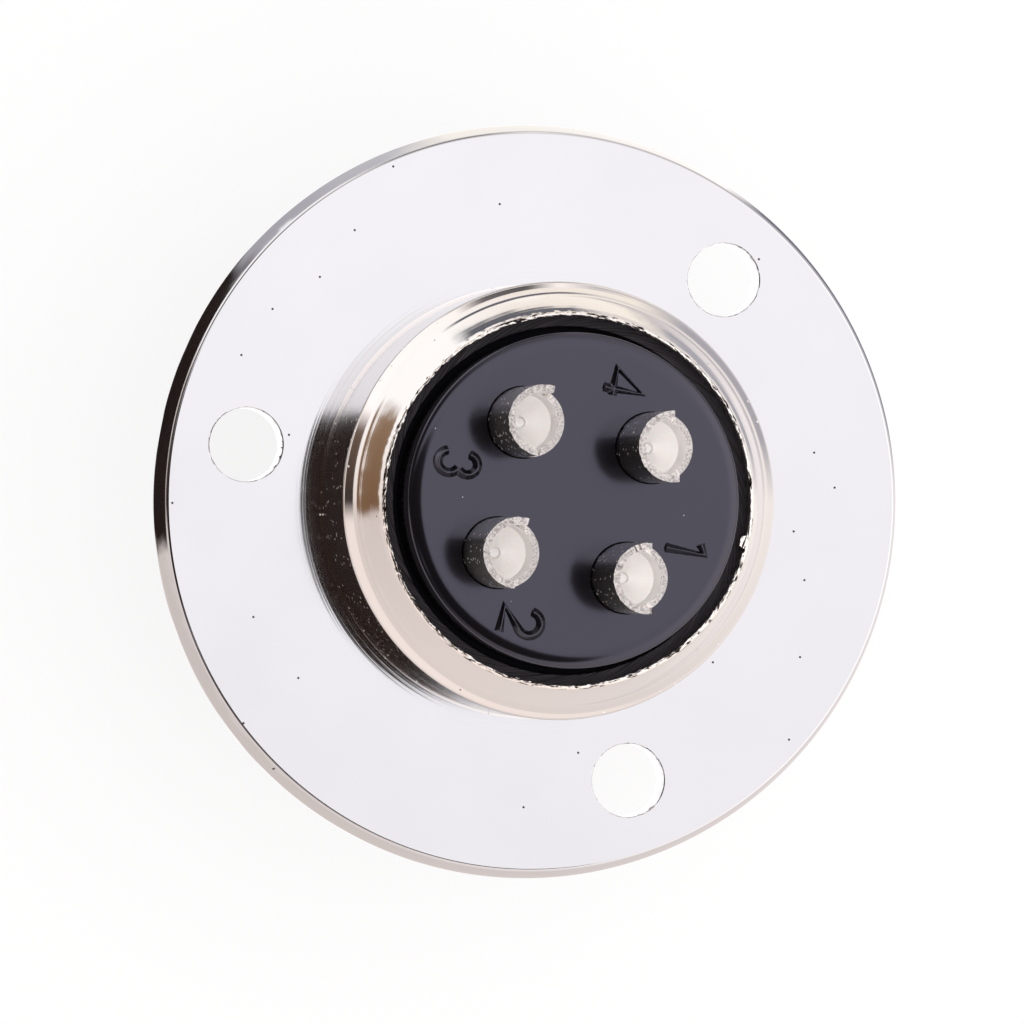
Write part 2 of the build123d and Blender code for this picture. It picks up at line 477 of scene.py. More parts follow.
def add(tree, kind, inputs=(), **settings):
    """Add one node with its settings, and link or set its inputs."""
    node = tree.nodes.new(kind)
    for name, value in settings.items():
        setattr(node, name, value)
    for socket, value in dict(inputs).items():
        if isinstance(value, bpy.types.NodeSocket):
            tree.links.new(value, node.inputs[socket])
        else:
            node.inputs[socket].default_value = value
    return node


def new_material(name):
    """An empty node tree with its own material."""
    material = bpy.data.materials.new(name)
    material.use_nodes = True
    material.node_tree.nodes.clear()
    return material, material.node_tree


def close_material(tree, inputs):
    """Add the surface shader and the output."""
    shader = add(tree, "ShaderNodeBsdfPrincipled", inputs)
    add(tree, "ShaderNodeOutputMaterial", {"Surface": shader.outputs["BSDF"]})


def around_axis(tree, place=None):
    """Radius, height and angle about the connector's axis, as three sockets."""
    place = place or add(tree, "ShaderNodeTexCoord").outputs["Object"]
    split = add(tree, "ShaderNodeSeparateXYZ", {0: place})
    flat = add(tree, "ShaderNodeCombineXYZ", {0: split.outputs[0], 1: split.outputs[1]})
    radius = add(tree, "ShaderNodeVectorMath", {0: flat.outputs[0]}, operation="LENGTH")
    angle = add(tree, "ShaderNodeMath", {0: split.outputs[1], 1: split.outputs[0]}, operation="ARCTAN2")
    return radius.outputs["Value"], split.outputs[2], angle.outputs[0]


def specks(tree, spacing, size, share, dimensions="3D"):
    """Scattered small specks: 1 on a speck and 0 elsewhere. On a flat face they lie in 2D."""
    place = add(tree, "ShaderNodeTexCoord").outputs["Object"]
    inputs = {"Vector": place, "Scale": 1 / spacing}
    cells = add(tree, "ShaderNodeTexVoronoi", inputs, voronoi_dimensions=dimensions)
    near = add(tree, "ShaderNodeMath", {0: cells.outputs["Distance"], 1: size / spacing}, operation="LESS_THAN")
    chosen = add(tree, "ShaderNodeSeparateColor", {0: cells.outputs["Color"]})
    kept = add(tree, "ShaderNodeMath", {0: chosen.outputs[0], 1: share}, operation="LESS_THAN")
    both = add(tree, "ShaderNodeMath", {0: near.outputs[0], 1: kept.outputs[0]}, operation="MULTIPLY")
    return both.outputs[0]


def mixed(tree, amount, first, second):
    """The first colour where the amount is 0, and the second where it is 1."""
    node = add(tree, "ShaderNodeMix", {0: amount, 6: first, 7: second}, data_type="RGBA")
    return node.outputs[2]


def dusted(tree, plate, spacing, size, share):
    """Base colour and metalness of a plating with white dust on it, as inputs of the shader."""
    dust = specks(tree, spacing, size, share)
    base = mixed(tree, dust, plate, linear("#F2EFEC"))
    bare = add(tree, "ShaderNodeMath", {0: 1.0, 1: dust}, operation="SUBTRACT")
    return {"Base Color": base, "Metallic": bare.outputs[0]}


def nickel_on_steel():
    """Bright nickel plate on stamped steel: a near mirror with a faint haze, dark nicks and lathe rings inside."""
    material, tree = new_material("nickel_plated_steel")
    place = add(tree, "ShaderNodeTexCoord").outputs["Object"]
    nicks = specks(tree, 2.6 * MM, 0.05 * MM, 0.35, "2D")
    haze = add(tree, "ShaderNodeTexNoise", {"Vector": place, "Scale": 1 / (6 * MM), "Detail": 6})
    plate = mixed(tree, haze.outputs[0], linear("#CECDCF"), linear("#C8C7C9"))
    base = mixed(tree, nicks, plate, linear("#4A4248"))
    rough = add(tree, "ShaderNodeMapRange", {0: haze.outputs[0], 1: 0.3, 2: 0.7, 3: 0.05, 4: 0.12})
    ripple = add(tree, "ShaderNodeTexNoise", {"Vector": place, "Scale": 1 / (1.5 * MM), "Detail": 2})
    bump = add(tree, "ShaderNodeBump", {"Height": ripple.outputs[0], "Strength": 0.04, "Distance": 0.02 * MM})
    radius = around_axis(tree)[0]
    ring = add(tree, "ShaderNodeCombineXYZ", {0: radius})
    lathe = add(tree, "ShaderNodeTexNoise", {"Vector": ring.outputs[0], "Scale": 1 / (0.14 * MM), "Detail": 2})
    near = add(tree, "ShaderNodeMapRange", {0: radius, 1: 9.2 * MM, 2: 10.8 * MM, 3: 1.0, 4: 0.0})
    marks = add(tree, "ShaderNodeMath", {0: lathe.outputs[0], 1: near.outputs[0]}, operation="MULTIPLY")
    inputs = {"Height": marks.outputs[0], "Strength": 0.2, "Distance": 0.02 * MM, "Normal": bump.outputs[0]}
    turned_in = add(tree, "ShaderNodeBump", inputs)
    close_material(
        tree,
        {"Base Color": base, "Metallic": 1.0, "Roughness": rough.outputs[0], "Normal": turned_in.outputs[0]},
    )
    return material


def nickel_on_brass():
    """Bright nickel plate on turned brass: a mirror with fine lathe rings, dark pits and dust on its wall."""
    material, tree = new_material("nickel_plated_brass")
    radius, height, angle = around_axis(tree)
    ring = add(tree, "ShaderNodeCombineXYZ", {0: radius, 1: height})
    lathe = add(tree, "ShaderNodeTexNoise", {"Vector": ring.outputs[0], "Scale": 1 / (0.12 * MM), "Detail": 3})
    cut = add(tree, "ShaderNodeTexNoise", {"Vector": ring.outputs[0], "Scale": 1 / (0.4 * MM), "Detail": 2})
    turning = add(tree, "ShaderNodeBump", {"Height": cut.outputs[0], "Strength": 0.5, "Distance": 0.02 * MM})
    inputs = {"Height": lathe.outputs[0], "Strength": 0.12, "Distance": 0.01 * MM, "Normal": turning.outputs[0]}
    bump = add(tree, "ShaderNodeBump", inputs)
    pits = specks(tree, 0.9 * MM, 0.04 * MM, 0.3)
    plate = mixed(tree, pits, linear("#D8D3D1"), linear("#5A5048"))
    steep = add(tree, "ShaderNodeMath", {0: radius, 1: 8.95 * MM}, operation="GREATER_THAN")
    share = add(tree, "ShaderNodeMath", {0: steep.outputs[0], 1: 0.5}, operation="MULTIPLY")
    look = dusted(tree, plate, 0.35 * MM, 0.05 * MM, share.outputs[0])
    close_material(tree, {**look, "Roughness": 0.09, "Normal": bump.outputs[0]})
    return material


def crimped_nickel():
    """The plate where the lip was rolled over: bright, torn into streaks that run along it, and dark between. The
    dark between the streaks is partly oxide and partly painted shade, for torn facets that mirror dark surroundings.
    """
    material, tree = new_material("crimped_nickel")
    radius, height, angle = around_axis(tree)
    across = add(tree, "ShaderNodeMath", {0: radius, 1: 1 / (0.09 * MM)}, operation="MULTIPLY")
    along = add(tree, "ShaderNodeMath", {0: angle, 1: 7.5 / 0.4}, operation="MULTIPLY")
    up = add(tree, "ShaderNodeMath", {0: height, 1: 1 / (0.09 * MM)}, operation="MULTIPLY")
    streak = add(tree, "ShaderNodeCombineXYZ", {0: across.outputs[0], 1: along.outputs[0], 2: up.outputs[0]})
    grain = add(tree, "ShaderNodeTexNoise", {"Vector": streak.outputs[0], "Scale": 1.0, "Detail": 3})
    bump = add(tree, "ShaderNodeBump", {"Height": grain.outputs[0], "Strength": 0.6, "Distance": 0.05 * MM})
    # Dark and bright patches in the base colour: partly oxide, partly painted shade of facets that mirror dark
    # surroundings.
    tone = add(tree, "ShaderNodeMapRange", {0: grain.outputs[0], 1: 0.4, 2: 0.47})
    base = mixed(tree, tone.outputs[0], linear("#2E2826"), linear("#E9E2DC"))
    close_material(tree, {"Base Color": base, "Metallic": 1.0, "Roughness": 0.1, "Normal": bump.outputs[0]})
    return material


def silver_on_brass(name, codes, roughness, grain_size, strength, dust=0.0):
    """Silver plate on turned brass: a dusty mirror outside, milky in the bore, and grainy on the cut edges. The given
    colours also hold painted light and shade: the bore's whiter plate is partly painted light, and the cut edges'
    darker grain is partly painted shade.
    """
    material, tree = new_material(name)
    place = add(tree, "ShaderNodeTexCoord").outputs["Object"]
    grain = add(tree, "ShaderNodeTexNoise", {"Vector": place, "Scale": 1 / grain_size, "Detail": 3})
    bump = add(tree, "ShaderNodeBump", {"Height": grain.outputs[0], "Strength": strength, "Distance": 0.03 * MM})
    # Grain mottles the plate between the two colours. On the cut edges the dark end is partly painted shade.
    tone = add(tree, "ShaderNodeMapRange", {0: grain.outputs[0], 1: 0.38, 2: 0.56})
    plate = mixed(tree, tone.outputs[0], linear(codes[0]), linear(codes[1]))
    look = dusted(tree, plate, 0.25 * MM, 0.045 * MM, dust)
    close_material(tree, {**look, "Roughness": roughness, "Normal": bump.outputs[0]})
    return material


def black_thermoset(name, roughness, refraction):
    """Moulded thermoset: near black, with a smooth glossy skin where it is polished, and a little white dust."""
    material, tree = new_material(name)
    dust = specks(tree, 0.8 * MM, 0.03 * MM, 0.5)
    base = mixed(tree, dust, linear("#121114"), linear("#C9C6CC"))
    place = add(tree, "ShaderNodeTexCoord").outputs["Object"]
    skin = add(tree, "ShaderNodeTexNoise", {"Vector": place, "Scale": 1 / (0.8 * MM), "Detail": 2})
    bump = add(tree, "ShaderNodeBump", {"Height": skin.outputs[0], "Strength": 0.03, "Distance": 0.01 * MM})
    inputs = {"Base Color": base, "Roughness": roughness, "IOR": refraction, "Specular Tint": linear("#E8E5FF")}
    close_material(tree, {**inputs, "Normal": bump.outputs[0]})
    return material


def black_fibre():
    """Punched vulcanised fibre: dull black, with fine scratches that run outwards."""
    material, tree = new_material("black_vulcanised_fibre")
    radius, height, angle = around_axis(tree)
    along = add(tree, "ShaderNodeMath", {0: radius, 1: 1 / (1.5 * MM)}, operation="MULTIPLY")
    lean = add(tree, "ShaderNodeMath", {0: radius, 1: 4 / (7.5 * MM)}, operation="MULTIPLY")
    slanted = add(tree, "ShaderNodeMath", {0: angle, 1: lean.outputs[0]}, operation="ADD")
    across = add(tree, "ShaderNodeMath", {0: slanted.outputs[0], 1: 7.5 / 0.13}, operation="MULTIPLY")
    streak = add(tree, "ShaderNodeCombineXYZ", {0: along.outputs[0], 1: across.outputs[0]})
    scratch = add(tree, "ShaderNodeTexNoise", {"Vector": streak.outputs[0], "Scale": 1.0, "Detail": 3})
    tone = add(tree, "ShaderNodeMapRange", {0: scratch.outputs[0], 1: 0.45, 2: 0.68, 3: 0.0, 4: 1.0})
    base = mixed(tree, tone.outputs[0], linear("#1E1A1C"), linear("#645E66"))
    bump = add(tree, "ShaderNodeBump", {"Height": scratch.outputs[0], "Strength": 0.5, "Distance": 0.02 * MM})
    close_material(tree, {"Base Color": base, "Roughness": 0.6, "IOR": 1.34, "Normal": bump.outputs[0]})
    return material


# Flange


def screw_hole(sizes, angle):
    """Cutter for one screw hole."""
    cutter = rod("hole_cutter", sizes.hole_radius, flange_front * 2, -flange_front)
    settle(cutter, angle, sizes.hole_circle)
    return cutter


def on_hole_edge(edge, centres, radius):
    """Whether both ends of an edge lie on the rim of a screw hole."""
    ends = [v.co for v in edge.verts]
    flat = abs(ends[0].z - ends[1].z) < CLOSE
    return flat and any(all(abs((end.xy - c).length - radius) < CLOSE for end in ends) for c in centres)


def in_hole_edge(point, centres, sizes):
    """Whether a point lies within the rounding of a screw hole's rear edge, clear of the flat face."""
    reach = sizes.hole_edge
    out = min((point.xy - c).length for c in centres) - sizes.hole_radius
    return out < 0.9 * reach and -1.1 * reach < point.z < -0.01 * reach


class CONNECTOR_OT_flange(bpy.types.Operator):
    """Model the stamped round flange with its rolled rim and three screw holes."""

    bl_idname = "connector.flange"
    bl_label = "Flange"

    def execute(self, context):
        sizes = context.scene.connector_flange
        recess = foot_radius + sizes.recess_gap
        chamfer = sizes.front_chamfer
        rear = (rim_radius - sizes.rim_taper, 0)
        corners = [
            (sizes.seat_radius, flange_front),
            (rim_radius - chamfer, flange_front),
            (rim_radius, flange_front + chamfer),
            (rim_radius, -sizes.taper_depth),
            rear,
            (recess, 0),
            (recess, -sizes.recess_depth),
            (sizes.seat_radius, -sizes.recess_depth),
            (sizes.seat_radius, flange_front),
        ]
        rounded = [(rear, sizes.rolled_edge), ((rim_radius, -sizes.taper_depth), sizes.rolled_edge)]
        piece = turned("stamped_flange", corners, rounded, steps=360)
        angles = [sizes.first_hole + 2 * pi * count / sizes.hole_count for count in range(sizes.hole_count)]
        for angle in angles:
            combine(piece, screw_hole(sizes, angle), "DIFFERENCE")
        centres = [Vector((cos(a), sin(a))) * sizes.hole_circle for a in angles]
        activate(piece)
        bpy.ops.object.mode_set(mode="EDIT")
        pick("EDGE", lambda e: on_hole_edge(e, centres, sizes.hole_radius))
        bpy.ops.mesh.bevel(offset=sizes.hole_edge, segments=3, affect="EDGES")
        pick("VERT", lambda v: in_hole_edge(v.co, centres, sizes))
        bpy.ops.transform.vertex_random(offset=sizes.hole_burr, seed=4)
        bpy.ops.object.mode_set(mode="OBJECT")
        piece.data.materials.append(nickel_on_steel())
        deliver(piece, "flange_plate", level=0.9999)
        return {"FINISHED"}


# Shell


def thread_ridge(sizes, relief_front):
    """Helical ridge of the coupling thread, trimmed to the barrel's outline."""
    root = sizes.thread_radius - sizes.thread_depth
    sunk = root - 0.05 * MM
    half_foot = 0.42 * sizes.thread_pitch
    half_crest = 0.0625 * sizes.thread_pitch
    start = mouth - 0.6 * sizes.thread_pitch
    turns = int((relief_front - start) / sizes.thread_pitch) + 2
    corners = [
        (sunk, start - half_foot),
        (sizes.thread_radius, start - half_crest),
        (sizes.thread_radius, start + half_crest),
        (sunk, start + half_foot),
    ]
    ridge = draw("thread_ridge", corners)
    bpy.ops.mesh.select_all(action="SELECT")
    bpy.ops.mesh.edge_face_add()
    bpy.ops.object.mode_set(mode="OBJECT")
    helix = ridge.modifiers.new("helix", "SCREW")
    helix.screw_offset = sizes.thread_pitch
    helix.iterations = turns
    helix.steps = helix.render_steps = 128
    bpy.ops.object.modifier_apply(modifier=helix.name)
    bpy.ops.object.mode_set(mode="EDIT")
    pick("EDGE", lambda e: e.is_boundary)
    bpy.ops.mesh.fill_holes(sides=4)
    tidy_skin()
    bpy.ops.object.mode_set(mode="OBJECT")
    chamfer = sizes.mouth_chamfer
    envelope = [
        (sunk, mouth),
        (sizes.thread_radius - chamfer, mouth),
        (sizes.thread_radius + MM * 0.01, mouth + chamfer),
        (sizes.thread_radius + MM * 0.01, relief_front),
        (sunk, relief_front),
        (sunk, mouth),
    ]
    combine(ridge, turned("thread_envelope", envelope, steps=256), "INTERSECT")
    return ridge


def key_bar(sizes, clearance, bottom, top):
    """Bar of the polarising key, sunk a little into the barrel's wall."""
    root = 0.3 * MM
    height = sizes.key_height + root + clearance
    middle = sizes.socket_radius + root - height / 2
    width = sizes.key_width + 2 * clearance
    piece = bar("key_bar", (height, width, top - bottom), (0, 0, (bottom + top) / 2))
    settle(piece, sizes.key_angle, middle)
    return piece


def shell_corners(sizes, relief_front):
    """Outline of the shell, from the socket's mouth round the outside and back."""
    thread_root = sizes.thread_radius - sizes.thread_depth
    relief = sizes.thread_radius - sizes.relief_depth
    corner = (sizes.collar_radius, lip_top - sizes.corner_drop)
    band_end = Vector((sizes.collar_radius - sizes.band_width, corner[1] + sizes.band_rise))
    land = Vector((sizes.lip_radius + sizes.land_width, lip_top - sizes.land_drop))
    bulge = Vector((land.y - band_end.y, band_end.x - land.x)).normalized() * sizes.cone_bulge
    seat = context_flange().seat_radius
    recess = -context_flange().recess_depth
    return [
        (sizes.socket_radius + sizes.socket_chamfer, mouth),
        (thread_root, mouth),
        (thread_root, relief_front),
        (relief, relief_front),
        (relief, flange_front),
        (seat, flange_front),
        (seat, recess),
        (foot_radius, recess),
        (foot_radius, sizes.foot_height),
        (sizes.collar_radius, sizes.foot_height),
        corner,
        band_end,
        *[band_end.lerp(land, share) + bulge * (4 * share * (1 - share)) for share in (0.17, 0.33, 0.5, 0.67, 0.83)],
        land,
        land + Vector((-0.05, 0.05)) * MM,
        land + Vector((-0.09, 0.07)) * MM,
        (sizes.lip_radius + 0.04 * MM, lip_top),
        (sizes.lip_radius, lip_top - 0.02 * MM),
        (sizes.lip_radius, lip_top - 0.1 * MM),
        (sizes.lip_radius, lip_top - 0.2 * MM),
        (sizes.lip_radius, ring_top),
        (sizes.pocket_radius, ring_top),
        (sizes.pocket_radius, sizes.pocket_floor),
        (sizes.socket_radius, sizes.pocket_floor),
        (sizes.socket_radius, mouth + sizes.socket_chamfer),
        (sizes.socket_radius + sizes.socket_chamfer, mouth),
    ]


def torn(point, sizes):
    """Whether a point lies on the torn bit of the lip's inner edge."""
    off = abs(atan2(point.y, point.x) - sizes.tear_angle)
    return off < sizes.tear_width and radius_of(point) < sizes.lip_radius + 0.1 * MM and point.z > lip_top - 0.2 * MM


def context_flange():
    """The flange's sizes, which the shell shares."""
    return bpy.context.scene.connector_flange


class CONNECTOR_OT_shell(bpy.types.Operator):
    """Model the turned shell: threaded barrel, key, collar and crimped lip."""

    bl_idname = "connector.shell"
    bl_label = "Shell"

    def execute(self, context):
        sizes = context.scene.connector_shell
        relief_front = flange_front - sizes.relief_width
        corner = (sizes.collar_radius, lip_top - sizes.corner_drop)
        piece = turned("turned_shell", shell_corners(sizes, relief_front), [(corner, sizes.corner_reach)], steps=512)
        activate(piece)
        bpy.ops.object.mode_set(mode="EDIT")
        land_low = lip_top - sizes.land_drop - CLOSE
        land_out = sizes.lip_radius + sizes.land_width - CLOSE
        pick("VERT", lambda v: v.co.z > land_low and radius_of(v.co) < land_out)
        bpy.ops.transform.vertex_random(offset=sizes.ragged_edge, seed=11)
        pick("VERT", lambda v: torn(v.co, sizes))
        inward = Vector((cos(sizes.tear_angle), sin(sizes.tear_angle), 0)) * -sizes.tear_reach
        bpy.ops.transform.translate(value=inward)
        bpy.ops.object.mode_set(mode="OBJECT")
        combine(piece, thread_ridge(sizes, relief_front), "UNION")
        combine(piece, key_bar(sizes, 0, mouth + sizes.key_setback, sizes.pocket_floor), "UNION")
        piece.data.materials.append(nickel_on_brass())
        piece.data.materials.append(crimped_nickel())
        for face in piece.data.polygons:
            centre = face.center
            crimped = centre.z > land_low - 0.02 * MM and radius_of(centre) < land_out
            face.material_index = int(crimped)
        deliver(piece, "shell")
        return {"FINISHED"}


# Clamp ring


class CONNECTOR_OT_clamp_ring(bpy.types.Operator):
    """Model the punched fibre ring under the lip."""

    bl_idname = "connector.clamp_ring"
    bl_label = "Clamp Ring"

    def execute(self, context):
        bore = context.scene.connector_insulator.ring_bore
        corners = [
            (bore, ring_bottom),
            (ring_outer_radius, ring_bottom),
            (ring_outer_radius, ring_top),
            (bore, ring_top),
            (bore, ring_bottom),
        ]
        piece = turned("fibre_ring", corners, [((bore, ring_top), 0.05 * MM)])
        piece.data.materials.append(black_fibre())
        deliver(piece, "clamp_ring")
        return {"FINISHED"}


# Insulator


def arc(centre, radius, start, sweep, steps=14):
    """Points along an arc, from a start angle through a sweep in degrees."""
    angles = [radians(start + sweep * step / steps) for step in range(steps + 1)]
    return [(centre[0] + radius * cos(a), centre[1] + radius * sin(a)) for a in angles]


def numeral_strokes(sizes):
    """Centre lines of the numerals 4, 3, 2 and 1, each about its own middle."""
    top = sizes.numeral_height / 2
    side = sizes.numeral_width / 2
    bowl = sizes.numeral_height * 0.3
    upper = sizes.numeral_height * 0.25
    lower = sizes.numeral_height * 0.28
    stem = side * 0.6
    crossbar = -top * 0.5
    upright = side * 0.36
    one = [[(upright, -top), (upright, top), (-upright, top * 0.72)]]
    two = [arc((0, top - bowl), bowl, 175, -220) + [(-side, -top), (side, -top)]]
    three = [arc((0, top - upper), upper, 180, -230), arc((0, lower - top), lower, 65, -230)]
    four = [[(stem, -top), (stem, top), (-side, crossbar), (side * 1.1, crossbar)]]
    return [four, three, two, one]


def ridge_along(stroke, sizes):
    """A roof-shaped ridge that follows one stroke of a numeral."""
    draw_line([(across, up, 0) for across, up in stroke])
    bpy.ops.object.mode_set(mode="OBJECT")
    bpy.ops.object.convert(target="CURVE")
    bpy.context.object.data.bevel_depth = sizes.numeral_stroke / 2
    bpy.context.object.data.bevel_resolution = 0
    bpy.context.object.data.use_fill_caps = True
    bpy.ops.object.convert(target="MESH")
    return bpy.context.object


def numeral(name, strokes, sizes):
    """One raised numeral: the ridges of its strokes, grown together and flattened."""
    ridges = [ridge_along(stroke, sizes) for stroke in strokes]
    deselect()
    for ridge in ridges:
        ridge.select_set(True)
    bpy.context.view_layer.objects.active = ridges[0]
    if len(ridges) > 1:
        bpy.ops.object.join()
    piece = bpy.context.view_layer.objects.active
    piece.name = name
    skin = piece.modifiers.new("skin", "REMESH")
    skin.mode = "VOXEL"
    skin.voxel_size = 0.025 * MM
    bpy.ops.object.modifier_apply(modifier=skin.name)
    smooth = piece.modifiers.new("smooth", "SMOOTH")
    smooth.iterations = 4
    bpy.ops.object.modifier_apply(modifier=smooth.name)
    piece.scale.z = tan(sizes.numeral_flank)
    bpy.ops.object.transform_apply(location=True, rotation=True, scale=True)
    bpy.ops.object.mode_set(mode="EDIT")
    pick("VERT", lambda v: v.co.z > sizes.numeral_relief)
    bpy.ops.transform.resize(value=(1, 1, 0), center_override=(0, 0, sizes.numeral_relief))
    bpy.ops.object.mode_set(mode="OBJECT")
    return piece


class CONNECTOR_OT_insulator(bpy.types.Operator):
    """Model the moulded insulator with its boss, contact holes and raised numerals."""

    bl_idname = "connector.insulator"
    bl_label = "Insulator"

    def execute(self, context):
        sizes = context.scene.connector_insulator
        shell = context.scene.connector_shell
        contact = context.scene.connector_contact
        front = shell.socket_radius - sizes.gap
        wide = shell.pocket_radius - sizes.gap
        rear = (sizes.boss_radius - sizes.boss_draft, sizes.boss_top)
        quarter = [pi / 2 * step / 16 for step in range(17)]
        corners = [
            (0, insulator_front),
            (front - sizes.front_chamfer, insulator_front),
            (front, insulator_front + sizes.front_chamfer),
            (front, shell.pocket_floor),
            (wide, shell.pocket_floor),
            (wide, ring_bottom),
            (sizes.boss_radius, ring_bottom),
            *[(rear[0] - sizes.edge_reach * (1 - cos(a)), rear[1] - sizes.edge_drop * (1 - sin(a))) for a in quarter],
            (0, sizes.boss_top),
        ]
        piece = turned("moulded_insulator", corners)
        combine(piece, key_bar(shell, sizes.gap, mouth, shell.pocket_floor), "DIFFERENCE")
        for count, strokes in enumerate(numeral_strokes(sizes)):
            angle = radians(count * 90 + numeral_angles[count])
            figure = numeral("numeral", strokes, sizes)
            figure.location.z = sizes.boss_top
            activate(figure)
            figure.rotation_euler.z = shell.key_angle - pi / 2 - angle
            bpy.ops.object.transform_apply(location=True, rotation=True, scale=True)
            settle(figure, angle, sizes.boss_radius - numeral_insets[count] * MM)
            combine(piece, figure, "UNION")
        for count in range(len(contact_names)):
            angle = radians(count * 90)
            wide_hole = rod("wide_hole", cup_radius + sizes.hole_gap, contact.shoulder, cup_top)
            settle(wide_hole, angle, contact_circle_radius)
            combine(piece, wide_hole, "DIFFERENCE")
            body_hole_radius = contact.body_radius + 0.03 * MM
            narrow_hole = rod("narrow_hole", body_hole_radius, insulator_front - MM, contact.shoulder + MM)
            settle(narrow_hole, angle, contact_circle_radius)
            combine(piece, narrow_hole, "DIFFERENCE")
        piece.data.materials.append(black_thermoset("black_thermoset", 0.12, 1.7))
        piece.data.materials.append(black_thermoset("dull_thermoset", 0.8, 1.3))
        for face in piece.data.polygons:
            face.material_index = int(abs(face.center.z - ring_bottom) < CLOSE)
        deliver(piece, "insulator")
        return {"FINISHED"}


# Contacts


def scoop_cutter(sizes):
    """Cutter that opens one side of a solder cup, round along its inner foot."""
    floor = cup_top - sizes.cut_depth
    reach = 2 * cup_radius
    size = (reach, 2 * reach, 2 * sizes.cut_depth)
    centre = (sizes.cut_offset + reach / 2, 0, floor + sizes.cut_depth)
    cutter = bar("scoop_cutter", size, centre)
    activate(cutter)
    bpy.ops.object.mode_set(mode="EDIT")
    pick("EDGE", lambda e: all(v.co.z < floor + CLOSE and v.co.x < sizes.cut_offset + CLOSE for v in e.verts))
    bpy.ops.mesh.bevel(offset=sizes.cutter_radius, segments=10, affect="EDGES")
    bpy.ops.object.mode_set(mode="OBJECT")
    return cutter


def first_contact(sizes):
    """One contact on the Z axis: round-nosed pin, body, shoulder and drilled cup."""
    bottom = cup_top - sizes.bore_depth
    slope = 1 / tan(sizes.drill_angle / 2)
    tip = (sizes.pin_radius, pin_tip)
    corners = [
        (0, pin_tip),
        tip,
        (sizes.pin_radius, insulator_front),
        (sizes.body_radius, insulator_front),
        (sizes.body_radius, sizes.shoulder),
        (cup_radius, sizes.shoulder),
        (cup_radius, cup_top),
        (sizes.bore_radius, cup_top),
        (sizes.bore_radius, bottom),
        (sizes.pilot_radius, bottom - slope * (sizes.bore_radius - sizes.pilot_radius)),
        (sizes.pilot_radius * 0.85, bottom - slope * sizes.bore_radius - 0.1 * MM),
        (0, bottom - slope * sizes.bore_radius - 0.16 * MM),
    ]
    piece = draw("contact_blank", corners)
    round_corner(tip, sizes.pin_nose, 8)
    turn(96)
    bpy.ops.object.mode_set(mode="OBJECT")
    combine(piece, scoop_cutter(sizes), "DIFFERENCE")
    return piece


class CONNECTOR_OT_contacts(bpy.types.Operator):
    """Model one contact with its solder cup, and copy it to its four places."""

    bl_idname = "connector.contacts"
    bl_label = "Contacts"

    def execute(self, context):
        sizes = context.scene.connector_contact
        blank = first_contact(sizes)
        wall = silver_on_brass("silver_plated_brass", ("#D6D2CE", "#F0EDE9"), 0.2, 0.15 * MM, 0.3, 0.5)
        # Whiter plate than the wall's: a milky satin finish, plus painted light that brightens the shaded bore.
        bowl = silver_on_brass("silver_plated_bore", ("#FFFBF8", "#FFFFFF"), 0.48, 0.1 * MM, 0.2)
        # Darker plate than the wall's: rough grain, plus painted shade for grain facets that mirror dark
        # surroundings.
        edge = silver_on_brass("silver_plated_cut_edge", ("#A09A97", "#CBC6C3"), 0.28, 0.08 * MM, 0.7)
        for material in (wall, bowl, edge):
            blank.data.materials.append(material)
        for face in blank.data.polygons:
            widest = max(radius_of(blank.data.vertices[corner].co) for corner in face.vertices)
            inside = widest < sizes.bore_radius + CLOSE and face.center.z > 0
            sideways = abs(face.normal.z) < 0.3 and abs(face.normal.x) < 0.99
            cut = face.center.z > cup_top - sizes.cut_depth - CLOSE and not sideways and not inside
            face.material_index = 1 if inside else 2 if cut else 0
        for count, name in enumerate(contact_names):
            piece = copy_of(blank, "plated_" + name)
            bpy.ops.object.mode_set(mode="EDIT")
            pick("VERT", lambda v: v.co.z > cup_top - CLOSE)
            bpy.ops.transform.vertex_random(offset=sizes.rim_wander, seed=count + 1)
            bpy.ops.object.mode_set(mode="OBJECT")
            angle = radians(count * 90)
            piece.rotation_euler.z = sizes.open_side - angle + radians(contact_turns[count])
            bpy.ops.object.transform_apply(location=True, rotation=True, scale=True)
            settle(piece, angle, contact_circle_radius)
            deliver(piece, name)
        bpy.data.objects.remove(blank)
        return {"FINISHED"}


# Stage


def floor_material():
    """White floor: its own glow keeps it white, and its diffuse share holds the soft shadow."""
    material, tree = new_material("white_floor")
    paper = add(tree, "ShaderNodeBsdfDiffuse", {"Color": linear("#FFFFFF")})
    glow = add(tree, "ShaderNodeEmission", {"Color": linear("#FFFFFF"), "Strength": 1.0})
    both = add(tree, "ShaderNodeMixShader", {0: 0.8, 1: paper.outputs[0], 2: glow.outputs[0]})
    add(tree, "ShaderNodeOutputMaterial", {"Surface": both.outputs[0]})
    return material


def bearing(tree, place, turned_by):
    """Bearing of a point or direction about the Z axis, from 0 to 1, and its height, as two sockets."""
    inputs = {"Vector": place, "Angle": turned_by}
    turned_place = add(tree, "ShaderNodeVectorRotate", inputs, rotation_type="Z_AXIS")
    split = add(tree, "ShaderNodeSeparateXYZ", {0: turned_place.outputs[0]})
    angle = add(tree, "ShaderNodeMath", {0: split.outputs[1], 1: split.outputs[0]}, operation="ARCTAN2")
    share = add(tree, "ShaderNodeMapRange", {0: angle.outputs[0], 1: -pi, 2: pi})
    return share.outputs[0], split.outputs[2]


def tone_ring(tree, share, tones):
    """Colours round the horizon, from (degrees, colour) pairs that start at -180."""
    ramp = add(tree, "ShaderNodeValToRGB", {0: share})
    stops = ramp.color_ramp.elements
    while len(stops) < len(tones):
        stops.new(0.5)
    for stop, (angle, code) in zip(stops, tones):
        stop.position = (angle + 180) / 360
        stop.color = linear(code)
    return ramp.outputs[0]


